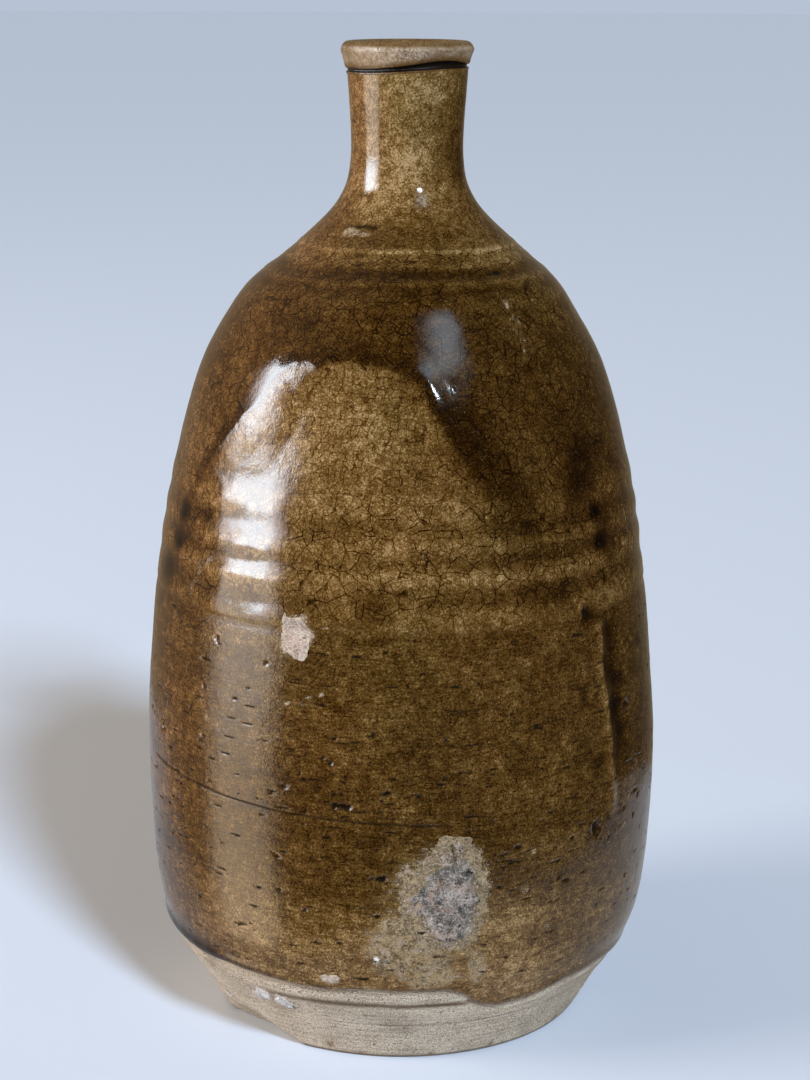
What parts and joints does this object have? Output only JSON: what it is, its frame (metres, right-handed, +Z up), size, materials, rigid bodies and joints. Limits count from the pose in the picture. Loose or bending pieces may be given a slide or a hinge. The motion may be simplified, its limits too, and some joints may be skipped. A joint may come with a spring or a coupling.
{
  "type": "sake bottle",
  "caption": "Tall round stoneware bottle with a narrow neck and rolled lip, a pressed dent in one side and amber crackle glaze over a bare turned foot; holds and pours liquid.",
  "frame": {"origin": "centre of the foot, on the surface that the bottle stands on", "axes": "+Z up along the bottle's axis to the mouth, -Y out through the dented side, +X to the right of it"},
  "size_m": [0.1436, 0.1438, 0.27],
  "materials": {
    "foot_clay": "bare fired stoneware, gritty, with turning grooves",
    "body_clay": "bare fired stoneware",
    "amber_glaze": "glossy translucent amber-brown ash and iron glaze with brown crackle",
    "rim_glaze": "thin glossy glaze, brown on top and worn pale at the edge",
    "inner_glaze": "glossy brown glaze lining",
    "kiln_grit": "rough grey-pink kiln grit fused to the clay"
  },
  "bodies": {
    "root": {"base_and_foot": "foot_clay", "body_wall": "body_clay", "neck": "body_clay", "lip_band": "body_clay", "outer_glaze": "amber_glaze", "rim_glaze": "rim_glaze", "inner_glaze": "inner_glaze", "kiln_scar_large": "kiln_grit", "kiln_scar_small": "kiln_grit"}
  },
  "joints": []
}
